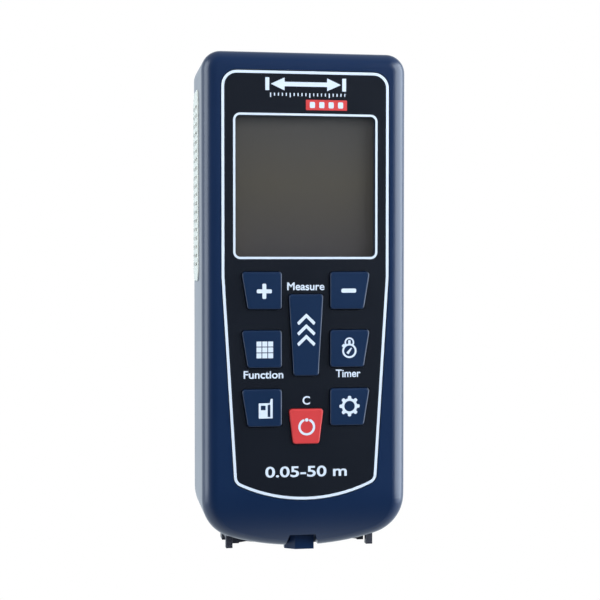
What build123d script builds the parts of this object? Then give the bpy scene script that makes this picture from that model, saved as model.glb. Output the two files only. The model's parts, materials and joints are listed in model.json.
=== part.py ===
from build123d import *
import math
import os

# Laser distance meter, in millimetres. X to the user's right, Y from the front face to the rear,
# Z up the height. The origin is on the ground below the middle of the upright instrument.

# Housing envelope
TOP_Z = 115.0
HALF_W = 23.6
FRONT_Y = -13.4
REAR_Y = 14.0
BASE_Z = 0.9
BASE_R = 55.0
LOWER_CORNER_R = 9.5
TOP_CORNER_R = 4.4
FRONT_EDGE_R = 3.4
REAR_EDGE_R = 3.2
CHIN_Z = 15.5
CHIN_R = 23.8
WALL = 1.8
PARTING_Y = -4.5
INNER_FRONT = FRONT_Y + WALL
INNER_REAR = REAR_Y - WALL
INNER_TOP = TOP_Z - WALL
BEYOND = 5.0

# Front panel
OVERLAY_DEPTH = 0.5
OVERLAY_T = 0.45
OVERLAY_GAP = 0.15
OVERLAY_BACK = FRONT_Y + OVERLAY_DEPTH
OVERLAY_FRONT = OVERLAY_BACK - OVERLAY_T
PANEL_TOP_Z = 110.45
PANEL_HALF_W = 19.35
PANEL_TAPER_Z = 63.6
PANEL_LOW_HALF_W = 16.5
PANEL_LOW_Z = 16.6
PANEL_BASE_Z = 12.55
PANEL_TOP_R = 3.6
PANEL_LOW_R = 2.4

# Display
WINDOW_HALF_W = 16.1
WINDOW_LOW_Z = 68.25
WINDOW_TOP_Z = 100.25
WINDOW_R = 1.0
WINDOW_BACK = -12.2
WINDOW_LEDGE = 0.9
LCD_HALF_W = 18.2
LCD_LOW_Z = 66.8
LCD_TOP_Z = 103.4
LCD_FRONT = -11.0
LCD_BACK = -9.1
LCD_RIM = 1.4
ZEBRA_LOW_Z = 67.2
ZEBRA_TOP_Z = 69.0
BACKLIGHT_LOW_Z = 69.6

# Main board
BOARD_FRONT = -7.0
BOARD_BACK = -5.8
BOARD_HALF_W = 20.0
BOARD_LOW_Z = 22.0
BOARD_TOP_Z = 105.5
BOARD_SCREW_X = 18.3
BOARD_SCREW_ZS = (27.0, 62.0)
BOARD_SCREW_HEAD_R = 1.5
BOARD_SCREW_HEAD_H = 1.2
BOARD_SCREW_TIP = -10.6
BOARD_PILOT_Y = -10.8
BOARD_POST_R = 2.0
BOARD_HOLE_R = 0.9
BOARD_CORNER_R = 1.5
SMALL_SHANK_R = 0.75
PROCESSOR = (0.0, 48.0, 10.0, 10.0, 1.2)
DETECTOR_SOCKET_Z = 73.5
LASER_SOCKET_Z = 75.0
SMALL_CHIPS = (
    (-12.0, 50.0, 5.0, 4.0, 0.9),
    (12.0, 50.0, 5.0, 5.0, 0.9),
    (-10.0, 40.0, 3.2, 1.6, 0.8),
    (0.0, 92.0, 8.0, 8.0, 1.0),
    (0.0, 38.0, 3.2, 2.5, 0.7),
)
CAPACITOR = (1.6, 0.8, 0.6)
CAPACITOR_PITCH = 3.0
CAPACITOR_START_X = -14.0
CAPACITOR_ROW_ZS = (30.0, 68.0)
CAPACITORS_IN_ROW = 5
BUZZER_XZ = (9.0, 35.0)
BUZZER_R = 4.5
BUZZER_H = 2.8

# Keys
KEY_FRONT = -14.05
KEY_EDGE_R = 0.3
KEY_CORNER_R = 0.7
KEY_GAP = 0.15
KEY_FLANGE = 0.6
FLANGE_FRONT = INNER_FRONT + 0.1
FLANGE_BACK = FLANGE_FRONT + 0.8
STEM_R = 1.5
STEM_BACK = -8.1
SIDE_KEY_INNER = 5.6
SIDE_KEY_TOP_OUTER = 14.8
SIDE_KEY_LOW_OUTER = 13.4
SIDE_KEY_H = 8.5
KEY_ROW_TOPS = (64.8, 51.5, 38.1)
MEASURE_Z = (41.1, 59.7)
MEASURE_HALF_W = (2.9, 4.0)
POWER_Z = (25.5, 33.5)
POWER_HALF_W = (3.0, 4.0)
MAT_FRONT = -10.1
MAT_BACK = -9.5
MAT_HALF_W = 15.8
MAT_Z = (23.8, 65.2)
MAT_RIM = 1.0
DOME_R = 2.5
DOME_T = 0.35

# Fasteners
CASE_SCREWS = ((-18.3, 109.2), (18.3, 109.2), (-17.0, 15.5), (17.0, 15.5))
CASE_SEAT_Y = 4.0
CASE_HEAD_R = 1.8
CASE_HEAD_H = 1.4
CASE_SHANK_R = 1.0
CROSS_HALF_L = 1.2
CROSS_HALF_W = 0.25
CROSS_DEPTH = 0.7
CASE_BOSS_R = 2.9
CASE_POST_R = 2.6
CASE_PILOT_Y = -10.3

# Battery bay
CELL_R = 5.25
CELL_L = 44.5
CELL_NUB_R = 1.9
CELL_NUB_H = 1.0
CELL_X = 5.9
CELL_Y = 6.0
BAY_HALF_W = 12.0
BAY_Z = (9.0, 59.0)
BAY_FLOOR_Y = 0.5
BAY_WALL = 1.2
BAY_CORNER_R = 0.8
CONTACT_T = 0.35
CONTACT_Y = (2.0, 10.0)
CONTACT_HALF_W = 3.6
TAIL_HALF_W = 1.0
SPRING_WIRE_R = 0.25
SPRING_R = 3.2
SPRING_TURNS = 4
SPRING_CONE_DEG = -14.0
DOOR_HALF_W = 13.2
DOOR_Z = (7.8, 60.4)
DOOR_GAP = 0.2
DOOR_LEDGE_Y = 13.0
DOOR_CORNER_R = 1.5
LATCH_HALF_W = 4.0
LATCH_TOP_Z = 62.6
LATCH_FRONT = 12.6
LATCH_ROOT_Z = 55.0
LATCH_GAP = 0.25
LATCH_OVERLAP = 1.0
LATCH_RIDGE_ZS = (59.6, 60.6, 61.6)
LATCH_RIDGE_HALF_W = 3.0
LATCH_RIDGE_H = 0.5
LATCH_RIDGE_PROUD = 0.15
DOOR_BACK = DOOR_LEDGE_Y + 0.05
DOOR_PLUG_FRONT = 12.0
DOOR_PLUG_GAP = 0.25
DOOR_PLUG_WALL = 1.15
FOAM_HALF_W = 9.0
FOAM_Z = (24.0, 44.0)
FOAM_FRONT = 11.55

# Optics
OPTIC_Y = 4.1
RECEIVER_X = 7.0
LASER_X = -9.5
BENCH_HALF_W = 15.0
BENCH_Y = (-2.9, 11.1)
BENCH_Z = (84.0, 111.0)
LENS_R = 6.0
LENS_Z = (106.5, 110.0)
CHAMBER_TOP_R = 5.4
CHAMBER_LOW_R = 1.8
CHAMBER_LOW_Z = 87.0
BARREL_R = 4.5
BARREL_BORE_R = 2.9
BARREL_Z = (86.0, 109.0)
BEZEL_HALF_W = 15.2
BEZEL_Y = (-1.9, 10.1)
BEZEL_R = 3.0
BEZEL_TOP_Z = 115.15
BEZEL_LIP = 0.7
BEZEL_LIP_Z = 112.0
WINDOW_DISC_T = 1.0
DETECTOR_Z = (80.6, 81.6)
RIBBON_T = 0.2
RIBBON_Y = -5.4
RIBBON_BEND_R = 1.2
BENCH_EDGE_R = 1.2
BENCH_TAB_Z = (77.0, 84.5)
BENCH_TAB_Y = (BENCH_Y[1] - 2.6, BENCH_Y[1] - 0.8)
BENCH_SCREW_XZ = ((-11.0, 80.0), (11.0, 80.0))
BENCH_SCREW_HEAD_R = 1.4
BENCH_SCREW_HEAD_H = 1.2
BENCH_POST_R = 2.2
BENCH_PILOT_Y = 8.0
OPTIC_BELOW = 76.0
OPTIC_ABOVE = 120.0
LENS_RIM_H = 1.6
RETAINER_H = 1.9
RETAINER_WALL = 0.7
COLLIMATOR_Z = (105.0, 108.0)
COLLIMATOR_DOME_R = 4.0
DIODE_FLANGE_H = 1.2
DIODE_CAN_R = 1.9
DIODE_CAN_H = 2.3
DIODE_PIN_R = 0.22
DIODE_PIN_L = 3.0
DIODE_PIN_CIRCLE_R = 1.2
DETECTOR_HALF_W = 6.0
DETECTOR_BACK = 7.0
PHOTODIODE_FLANGE_R = 2.7
PHOTODIODE_FLANGE_H = 0.4
PHOTODIODE_CAN_R = 2.3
FILTER_H = 0.7
LASER_PANE_R = 3.2
RECEIVER_PANE_R = 6.0
PANE_LEDGE = 0.8
BEZEL_EDGE_R = 0.4

# Tripod bush
BUSH_Z = 70.0
BUSH_R = 4.5
BUSH_BORE_R = 2.55
BUSH_Y = (7.4, 13.9)
BUSH_CHAMFER = 0.3

# Side grips and rear label
GRIP_Z = (62.5, 107.5)
GRIP_Y = (-2.8, 9.6)
GRIP_PROUD = 0.3
GRIP_LET_IN = 0.6
GRIP_R = 3.0
LABEL_HALF_W = 13.0
LABEL_Z = (82.0, 106.0)
LABEL_T = 0.12
LABEL_R = 1.2

# Base: feet, fold-out end bracket and strap lug
FOOT_X = (15.95, 17.45)
FOOT_Y = (-4.4, 9.8)
FOOT_ARCH_Y = (-2.4, 5.6)
FOOT_ARCH_Z = 2.1
FOOT_TOP_Z = 4.6
FOOT_EDGE_R = 0.25
HINGE_Y = 9.0
HINGE_Z = 1.4
HINGE_DISC_R = 1.1
HINGE_PIN_R = 0.5
HINGE_GAP = 0.05
HINGE_LUG_X = (13.0, 13.9)
PIN_END_X = 17.2
ARM_X = (14.2, 15.7)
BAR_Y = (-2.2, 0.8)
BAR_Z = 0.35
BAR_T = 0.5
BAR_R = 100.0
GUSSET_X = 12.4
GUSSET_Z = 0.7
SILL_HALF_W = 6.5
SILL_TOP_Z = 5.7
SILL_BACK = 2.2
NOTCH_LOW_Z = -1.0
NOTCH_CEILING_Z = 3.9
NOTCH_LOW_X = (-4.6, 4.5)
NOTCH_TOP_X = (-3.3, 2.75)
NOTCH_BACK = 0.6
LUG_FRONT_X = (-1.6, 2.8)
LUG_LEFT_X = -3.9
LUG_FRONT = -7.5
LUG_CUT_Y = -5.9
LUG_BACK = -4.6
LUG_BOTTOM_Z = 0.0
LUG_HOLE_R = 0.8
LUG_HOLE_YZ = (-6.0, 2.3)


def span(low, high):
    """Length and middle of a stretch."""
    return high - low, (low + high) / 2


def block(x, y, z):
    """Box between the given low and high values along each axis."""
    (dx, cx), (dy, cy), (dz, cz) = span(*x), span(*y), span(*z)
    return Pos(cx, cy, cz) * Box(dx, dy, dz)


def slab(profile, y_front, y_back):
    """Extrude a profile drawn in X and Z from y_front to y_back."""
    plane = Plane(origin=(0, y_back, 0), x_dir=(1, 0, 0), z_dir=(0, -1, 0))
    return extrude(plane * profile, amount=y_back - y_front)


def bar(profile, x_left, x_right):
    """Extrude a profile drawn in Y and Z from x_left to x_right."""
    plane = Plane(origin=(x_left, 0, 0), x_dir=(0, 1, 0), z_dir=(1, 0, 0))
    return extrude(plane * profile, amount=x_right - x_left)


def rod_y(x, z, radius, y_front, y_back):
    """Round bar along Y."""
    return slab(Pos(x, z) * Circle(radius), y_front, y_back)


def rod_z(x, y, radius, z_low, z_top):
    """Round bar along Z."""
    length, middle = span(z_low, z_top)
    return Pos(x, y, middle) * Cylinder(radius, length)


def rounded(x, z, radius):
    """Rounded rectangle between low and high values in a drawing plane."""
    (dx, cx), (dz, cz) = span(*x), span(*z)
    return Pos(cx, cz) * RectangleRounded(dx, dz, radius)


def both_sides(shape):
    """A shape and its mirror image across the middle plane."""
    return shape + mirror(shape, about=Plane.YZ)


def outline(inset):
    """Front view of the housing, drawn in by an inset."""
    half = HALF_W - inset
    top = TOP_Z - inset
    radius = BASE_R - inset
    centre_z = BASE_Z + BASE_R
    side_z = centre_z - math.sqrt(radius**2 - half**2)
    arc = ThreePointArc((-half, side_z), (0, centre_z - radius), (half, side_z))
    sides = Polyline((half, side_z), (half, top), (-half, top), (-half, side_z))
    face = make_face(arc + sides)
    face = fillet(face.vertices().group_by(Axis.Y)[-1], TOP_CORNER_R - inset)
    return fillet(face.vertices().group_by(Axis.Y)[0], LOWER_CORNER_R - inset)


def side_profile(inset):
    """Side view of the housing: a flat front that curves back at the chin."""
    front = FRONT_Y + inset
    rear = REAR_Y - inset
    radius = CHIN_R - inset
    centre_y = FRONT_Y + CHIN_R
    low = -1.0
    middle = CHIN_Z / 2
    chin = [
        (centre_y - math.sqrt(radius**2 - (CHIN_Z - z) ** 2), z)
        for z in (CHIN_Z, middle, low)
    ]
    top = TOP_Z + 1
    sides = Polyline(chin[2], (rear, low), (rear, top), (front, top), chin[0])
    return make_face(ThreePointArc(*chin) + sides)


def body_solid(inset):
    """The housing's outer form, or the hollow inside it, as one rounded solid."""
    raw = slab(outline(inset), FRONT_Y, REAR_Y) & bar(side_profile(inset), -HALF_W, HALF_W)
    raw = raw.solids()[0]
    front_y = FRONT_Y + inset
    front_edges = []
    for face in raw.faces():
        is_front = face.geom_type == GeomType.PLANE and face.normal_at().Y < -0.99
        is_chin = face.geom_type == GeomType.CYLINDER and face.normal_at().Y < -0.5
        if is_front or is_chin:
            front_edges += [e for e in face.edges() if not on_crease(e, front_y)]
    raw = raw.fillet(REAR_EDGE_R - inset, raw.faces().sort_by(Axis.Y)[-1].edges())
    return raw.fillet(FRONT_EDGE_R - inset, front_edges)


def on_crease(edge, front_y):
    """True for the smooth line where the flat front turns into the chin."""
    middle = edge.center()
    return abs(middle.Z - CHIN_Z) < 0.01 and abs(middle.Y - front_y) < 0.01


def panel_outline():
    """Front panel: straight above, tapered below, closed by an arc."""
    arc = ThreePointArc(
        (-PANEL_LOW_HALF_W, PANEL_LOW_Z), (0, PANEL_BASE_Z), (PANEL_LOW_HALF_W, PANEL_LOW_Z)
    )
    sides = Polyline(
        (PANEL_LOW_HALF_W, PANEL_LOW_Z),
        (PANEL_HALF_W, PANEL_TAPER_Z),
        (PANEL_HALF_W, PANEL_TOP_Z),
        (-PANEL_HALF_W, PANEL_TOP_Z),
        (-PANEL_HALF_W, PANEL_TAPER_Z),
        (-PANEL_LOW_HALF_W, PANEL_LOW_Z),
    )
    face = make_face(arc + sides)
    face = fillet(face.vertices().group_by(Axis.Y)[-1], PANEL_TOP_R)
    return fillet(face.vertices().group_by(Axis.Y)[0], PANEL_LOW_R)


def side_key_outline(side, z_top):
    """Side key: upright inner edge, slanted outer edge. side is -1 on the left, 1 on the right."""
    z_low = z_top - SIDE_KEY_H
    corners = (
        (side * SIDE_KEY_INNER, z_top),
        (side * SIDE_KEY_TOP_OUTER, z_top),
        (side * SIDE_KEY_LOW_OUTER, z_low),
        (side * SIDE_KEY_INNER, z_low),
    )
    face = make_face(Polyline(*corners, close=True))
    return fillet(face.vertices(), KEY_CORNER_R)


def middle_key_outline(z_range, half_widths):
    """Middle key: a trapezium that narrows downward."""
    (z_low, z_top), (low_half, top_half) = z_range, half_widths
    corners = ((-top_half, z_top), (top_half, z_top), (low_half, z_low), (-low_half, z_low))
    face = make_face(Polyline(*corners, close=True))
    return fillet(face.vertices(), KEY_CORNER_R)


def key_outlines():
    """Each key's name, outline, and the middle of its stem."""
    names = (
        ("key_plus", "key_minus"),
        ("key_function", "key_timer"),
        ("key_reference", "key_settings"),
    )
    keys = {}
    stem_x = (SIDE_KEY_INNER + SIDE_KEY_LOW_OUTER) / 2
    for pair, z_top in zip(names, KEY_ROW_TOPS):
        for name, side in zip(pair, (-1, 1)):
            keys[name] = (side_key_outline(side, z_top), (side * stem_x, z_top - SIDE_KEY_H / 2))
    keys["key_measure"] = (middle_key_outline(MEASURE_Z, MEASURE_HALF_W), (0, sum(MEASURE_Z) / 2))
    keys["key_power"] = (middle_key_outline(POWER_Z, POWER_HALF_W), (0, sum(POWER_Z) / 2))
    return keys


KEYS = key_outlines()


def key_openings(grow, y_front, y_back):
    """Solid that clears every key, a little larger all round."""
    return [slab(offset(shape, grow), y_front, y_back) for shape, _ in KEYS.values()]


def key_cap(shape, stem):
    """Key cap with softened edges, a hidden retaining flange and a stem."""
    cap = slab(shape, KEY_FRONT, FLANGE_FRONT)
    cap = fillet(cap.faces().sort_by(Axis.Y)[0].edges(), KEY_EDGE_R)
    flange = slab(offset(shape, KEY_FLANGE), FLANGE_FRONT, FLANGE_BACK)
    return cap + flange + rod_y(*stem, STEM_R, FLANGE_BACK, STEM_BACK)


def bezel_outline(grow):
    """Plan view of the optics bezel in X and Y."""
    half = BEZEL_HALF_W + grow
    return rounded((-half, half), (BEZEL_Y[0] - grow, BEZEL_Y[1] + grow), BEZEL_R)


def plate(profile, z_low, z_top):
    """Extrude a plan drawn in X and Y from z_low to z_top."""
    return extrude(Pos(0, 0, z_low) * profile, amount=z_top - z_low)


def base_notch():
    """Notch round the strap lug, open at the chin and wider toward the ground."""
    corners = (
        (NOTCH_LOW_X[0], NOTCH_LOW_Z),
        (NOTCH_LOW_X[1], NOTCH_LOW_Z),
        (NOTCH_TOP_X[1], NOTCH_CEILING_Z),
        (NOTCH_TOP_X[0], NOTCH_CEILING_Z),
    )
    return slab(make_face(Polyline(*corners, close=True)), FRONT_Y - 1, NOTCH_BACK)


def lug_plan():
    """Plan of the strap lug, with its left front corner cut back."""
    corners = (
        (LUG_FRONT_X[0], LUG_FRONT),
        (LUG_FRONT_X[1], LUG_FRONT),
        (LUG_FRONT_X[1], LUG_BACK),
        (LUG_LEFT_X, LUG_BACK),
        (LUG_LEFT_X, LUG_CUT_Y),
    )
    return make_face(Polyline(*corners, close=True))


def strap_lug():
    """Lug with a cross hole for a wrist cord."""
    lug = plate(lug_plan(), LUG_BOTTOM_Z, NOTCH_CEILING_Z)
    return lug - bar(Pos(*LUG_HOLE_YZ) * Circle(LUG_HOLE_R), -BEYOND, BEYOND)


def case_bosses(radius, y_front, y_back):
    """A round post at each case screw."""
    return [rod_y(x, z, radius, y_front, y_back) for x, z in CASE_SCREWS]


def board_screw_points():
    """X and Z of the four board screws."""
    return [(side * BOARD_SCREW_X, z) for side in (-1, 1) for z in BOARD_SCREW_ZS]


def gasket_ring():
    """Seal in the parting line, broken at the notch in the base."""
    ring = slab(outline(0.5) - outline(1.3), PARTING_Y - 0.4, PARTING_Y + 0.4)
    return ring - block((-SILL_HALF_W - 0.1, SILL_HALF_W + 0.1), (-BEYOND, 0), (0, SILL_TOP_Z + 0.3))


def sill(y_front, y_back):
    """Solid block over the notch in the base."""
    return block((-SILL_HALF_W, SILL_HALF_W), (y_front, y_back), (0, SILL_TOP_Z))


def front_housing(outer, inner):
    """Front shell with the panel recess, display and key openings, and posts."""
    front_half = block((-HALF_W, HALF_W), (FRONT_Y, PARTING_Y), (-1, TOP_Z))
    shell = (outer - inner) & front_half
    shell += sill(FRONT_Y, PARTING_Y) & outer
    posts = case_bosses(CASE_POST_R, INNER_FRONT - 0.2, PARTING_Y)
    posts += [rod_y(x, z, BOARD_POST_R, INNER_FRONT - 0.2, BOARD_FRONT) for x, z in board_screw_points()]
    shell += [post & outer for post in posts]
    shell -= slab(offset(panel_outline(), OVERLAY_GAP), FRONT_Y - 1, OVERLAY_BACK)
    shell -= slab(window_outline(0), FRONT_Y, INNER_FRONT + 1)
    shell -= slab(window_outline(WINDOW_LEDGE), FRONT_Y, WINDOW_BACK)
    shell -= key_openings(KEY_GAP, FRONT_Y, INNER_FRONT + 0.05)
    shell -= case_bosses(CASE_SHANK_R, CASE_PILOT_Y, 0)
    shell -= [rod_y(x, z, SMALL_SHANK_R, BOARD_PILOT_Y, 0) for x, z in board_screw_points()]
    shell -= gasket_ring()
    return shell - base_notch() + strap_lug()


def window_outline(grow):
    """Display window in X and Z."""
    half = WINDOW_HALF_W + grow
    return rounded((-half, half), (WINDOW_LOW_Z - grow, WINDOW_TOP_Z + grow), WINDOW_R)


def door_outline(grow):
    """Battery door in X and Z."""
    half = DOOR_HALF_W + grow
    return rounded((-half, half), (DOOR_Z[0] - grow, DOOR_Z[1] + grow), DOOR_CORNER_R)


def bay_outline(grow):
    """Battery bay in X and Z."""
    half = BAY_HALF_W + grow
    return rounded((-half, half), (BAY_Z[0] - grow, BAY_Z[1] + grow), BAY_CORNER_R)


def battery_bay():
    """Walls and floor of the battery bay."""
    return slab(bay_outline(BAY_WALL), BAY_FLOOR_Y - BAY_WALL, INNER_REAR + 0.3)


def tail_slots():
    """Slots in the bay floor for the contact tails."""
    z_range = (BAY_Z[1] - CONTACT_T - 0.05, BAY_Z[1])
    half = TAIL_HALF_W + 0.05
    return [block((x - half, x + half), (-2, 1), z_range) for x in (-CELL_X, CELL_X)]


def latch_notch():
    """Room for the door's latch in the rear wall."""
    half = LATCH_HALF_W + LATCH_GAP
    return block((-half, half), (LATCH_FRONT - 0.2, REAR_Y + 1), (LATCH_ROOT_Z, LATCH_TOP_Z + LATCH_GAP))


def label_outline():
    """Rear label in X and Z."""
    return rounded((-LABEL_HALF_W, LABEL_HALF_W), LABEL_Z, LABEL_R)


def grip_plan(grow):
    """Side view of a grip in Y and Z."""
    return rounded((GRIP_Y[0] - grow, GRIP_Y[1] + grow), (GRIP_Z[0] - grow, GRIP_Z[1] + grow), GRIP_R)


def hinge_lug():
    """Lug under the right side of the base that steadies the bracket's pin."""
    y_range = (HINGE_Y - HINGE_DISC_R, HINGE_Y + HINGE_DISC_R)
    return hinge_rod(HINGE_DISC_R, *HINGE_LUG_X) + block(HINGE_LUG_X, y_range, (HINGE_Z, 4.0))


def hinge_rod(radius, x_left, x_right):
    """Round bar along the bracket's hinge line."""
    return bar(Pos(HINGE_Y, HINGE_Z) * Circle(radius), x_left, x_right)


def rear_housing(outer, inner):
    """Rear shell with the battery bay, tripod boss, screw posts and optics opening."""
    rear_half = block((-HALF_W, HALF_W), (PARTING_Y, REAR_Y), (-1, TOP_Z))
    shell = (outer - inner) & rear_half
    shell += sill(PARTING_Y, SILL_BACK) & outer
    shell += battery_bay()
    shell += rod_y(0, BUSH_Z, BUSH_R + 2, BUSH_Y[0] - 1.4, INNER_REAR + 0.2)
    shell += [post & outer for post in case_bosses(CASE_BOSS_R, PARTING_Y, INNER_REAR + 0.2)]
    shell += [rod_y(x, z, BENCH_POST_R, BENCH_TAB_Y[1], INNER_REAR + 0.2) for x, z in BENCH_SCREW_XZ]
    shell += both_sides(hinge_lug())
    shell -= slab(bay_outline(0), BAY_FLOOR_Y, REAR_Y + 1)
    shell -= slab(door_outline(DOOR_GAP), DOOR_LEDGE_Y, REAR_Y + 1)
    shell -= latch_notch()
    shell -= tail_slots()
    shell -= rod_y(0, BUSH_Z, BUSH_R, BUSH_Y[0], REAR_Y + 1)
    shell -= case_bosses(CASE_HEAD_R + 0.3, CASE_SEAT_Y, REAR_Y + 1)
    shell -= case_bosses(CASE_SHANK_R + 0.15, PARTING_Y - 1, CASE_SEAT_Y)
    shell -= [rod_y(x, z, SMALL_SHANK_R, BENCH_PILOT_Y, INNER_REAR + 0.3) for x, z in BENCH_SCREW_XZ]
    shell -= plate(bezel_outline(0.1), INNER_TOP - 0.5, TOP_Z + 1)
    shell -= both_sides(bar(grip_plan(0), HALF_W - GRIP_LET_IN, HALF_W + 1))
    shell -= slab(label_outline(), REAR_Y - LABEL_T, REAR_Y + 1)
    shell -= both_sides(hinge_rod(HINGE_PIN_R, *HINGE_LUG_X))
    shell -= gasket_ring()
    return shell - base_notch()


def panel_overlay():
    """Printed black overlay with openings for the window and keys."""
    sheet = slab(panel_outline(), OVERLAY_FRONT, OVERLAY_BACK)
    sheet -= slab(window_outline(0.05), FRONT_Y - 1, OVERLAY_BACK + 1)
    return sheet - key_openings(KEY_GAP, FRONT_Y - 1, OVERLAY_BACK + 1)


def display_window():
    """Clear pane: its rim sits behind the overlay, its raised middle fills the opening."""
    rim = slab(window_outline(WINDOW_LEDGE - 0.1), OVERLAY_BACK, WINDOW_BACK)
    return rim + slab(window_outline(0), OVERLAY_FRONT, OVERLAY_BACK)


def lcd_outline(grow):
    """Display glass in X and Z."""
    half = LCD_HALF_W + grow
    return rounded((-half, half), (LCD_LOW_Z - grow, LCD_TOP_Z + grow), 0.5)


def display_gasket():
    """Foam frame between the front wall and the glass."""
    return slab(lcd_outline(-0.2) - window_outline(0.6), INNER_FRONT, LCD_FRONT)


def lcd_frame():
    """Tray that holds the glass and backlight against the board."""
    return slab(lcd_outline(LCD_RIM) - lcd_outline(0.1), LCD_FRONT, BOARD_FRONT)


def lcd_backlight():
    """Light guide behind the upper part of the glass."""
    half = LCD_HALF_W - 0.2
    return slab(rounded((-half, half), (BACKLIGHT_LOW_Z, LCD_TOP_Z - 0.2), 0.5), LCD_BACK, BOARD_FRONT)


def main_board():
    """Main circuit board with its screw holes."""
    shape = rounded((-BOARD_HALF_W, BOARD_HALF_W), (BOARD_LOW_Z, BOARD_TOP_Z), BOARD_CORNER_R)
    sheet = slab(shape, BOARD_FRONT, BOARD_BACK)
    hole_y = (BOARD_FRONT - 1, BOARD_BACK + 1)
    return sheet - [rod_y(x, z, BOARD_HOLE_R, *hole_y) for x, z in board_screw_points()]


def snap_domes():
    """A metal dome under each key."""
    return [rod_y(*stem, DOME_R, BOARD_FRONT - DOME_T, BOARD_FRONT) for _, stem in KEYS.values()]


def keypad_mat():
    """Silicone sheet behind the keys, on a rim that stands on the board."""
    field = rounded((-MAT_HALF_W, MAT_HALF_W), MAT_Z, 1.5)
    middle = offset(field, -MAT_RIM)
    sheet = slab(field, MAT_FRONT, BOARD_FRONT) - slab(middle, MAT_BACK, BOARD_FRONT + 1)
    return sheet - [rod_y(*stem, STEM_R + 0.3, MAT_FRONT - 1, MAT_BACK + 1) for _, stem in KEYS.values()]


def chip(x, z, width, height, depth):
    """Component on the rear of the main board."""
    x_range = (x - width / 2, x + width / 2)
    return block(x_range, (BOARD_BACK, BOARD_BACK + depth), (z - height / 2, z + height / 2))


def board_components():
    """Sockets, small chips and capacitors on the rear of the board."""
    parts = [
        chip(RECEIVER_X, DETECTOR_SOCKET_Z, 9.0, 3.0, 1.0),
        chip(LASER_X, LASER_SOCKET_Z, 6.0, 3.0, 1.0),
    ]
    parts += [chip(*place_and_size) for place_and_size in SMALL_CHIPS]
    xs = [CAPACITOR_START_X + CAPACITOR_PITCH * i for i in range(CAPACITORS_IN_ROW)]
    return parts + [chip(x, z, *CAPACITOR) for z in CAPACITOR_ROW_ZS for x in xs]


def battery_cell(x, nub_up):
    """Size AAA cell with a softened rim and a nub."""
    can_l = CELL_L - CELL_NUB_H
    if nub_up:
        nub_tip = BAY_Z[1] - 2 * CONTACT_T
        can_z = (nub_tip - CELL_L, nub_tip - CELL_NUB_H)
        nub_z = (can_z[1], nub_tip)
    else:
        nub_tip = BAY_Z[0] + 2 * CONTACT_T
        can_z = (nub_tip + CELL_NUB_H, nub_tip + CELL_L)
        nub_z = (nub_tip, can_z[0])
    can = Pos(x, CELL_Y, sum(can_z) / 2) * Cylinder(CELL_R, can_l)
    can = fillet(can.edges(), 0.5)
    return can + rod_z(x, CELL_Y, CELL_NUB_R, *nub_z)


def contact_strip(x_left, x_right, z_low):
    """Flat metal strip across an end of the bay."""
    return block((x_left, x_right), CONTACT_Y, (z_low, z_low + CONTACT_T))


def bridge_contact():
    """Strip across the foot of the bay that joins the two cells."""
    strip = contact_strip(-CELL_X - CONTACT_HALF_W, CELL_X + CONTACT_HALF_W, BAY_Z[0])
    return strip + rod_z(CELL_X, CELL_Y, CELL_NUB_R, BAY_Z[0] + CONTACT_T, BAY_Z[0] + 2 * CONTACT_T)


def top_contact(x, raised):
    """Strip at the head of the bay with a tail to the main board."""
    z_low = BAY_Z[1] - CONTACT_T
    strip = contact_strip(x - CONTACT_HALF_W, x + CONTACT_HALF_W, z_low)
    strip += block((x - TAIL_HALF_W, x + TAIL_HALF_W), (BOARD_BACK, CONTACT_Y[0]), (z_low, BAY_Z[1]))
    if raised:
        strip += rod_z(x, CELL_Y, CELL_NUB_R, z_low - CONTACT_T, z_low)
    return strip


def coil():
    """Conical coil standing on its wide end at the origin."""
    room = BAY_Z[1] - BAY_Z[0] - CELL_L - 3 * CONTACT_T
    height = room - 2 * SPRING_WIRE_R
    line = Helix(
        height / SPRING_TURNS, height, SPRING_R, center=(0, 0, SPRING_WIRE_R), cone_angle=SPRING_CONE_DEG
    )
    start = Plane(origin=line @ 0, z_dir=line % 0)
    return sweep(start * Circle(SPRING_WIRE_R), path=line, is_frenet=True)


def battery_springs():
    """Coil under the left cell and coil over the right cell."""
    low = Pos(-CELL_X, CELL_Y, BAY_Z[0] + CONTACT_T) * coil()
    high = Pos(CELL_X, CELL_Y, BAY_Z[1] - CONTACT_T) * Rot(180, 0, 0) * coil()
    return [low, high]


def battery_door():
    """Lift-off door with a locating frame inside and a ribbed latch at its top."""
    door = slab(door_outline(0), DOOR_BACK, REAR_Y)
    frame = bay_outline(-DOOR_PLUG_GAP) - bay_outline(-DOOR_PLUG_GAP - DOOR_PLUG_WALL)
    plug = slab(frame, DOOR_PLUG_FRONT, DOOR_BACK)
    latch_z = (DOOR_Z[1] - LATCH_OVERLAP, LATCH_TOP_Z)
    latch = block((-LATCH_HALF_W, LATCH_HALF_W), (LATCH_FRONT, REAR_Y), latch_z)
    latch -= block((-BEYOND, BEYOND), (LATCH_FRONT - 1, DOOR_BACK), (LATCH_ROOT_Z, DOOR_Z[1] + 0.4))
    door += [plug, latch]
    ridge_x = (-LATCH_RIDGE_HALF_W, LATCH_RIDGE_HALF_W)
    ridge_y = (REAR_Y - 0.3, REAR_Y + LATCH_RIDGE_PROUD)
    return door + [block(ridge_x, ridge_y, (z, z + LATCH_RIDGE_H)) for z in LATCH_RIDGE_ZS]


def door_foam():
    """Pad that steadies the cells."""
    return slab(rounded((-FOAM_HALF_W, FOAM_HALF_W), FOAM_Z, 1.0), FOAM_FRONT, DOOR_BACK)


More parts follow.
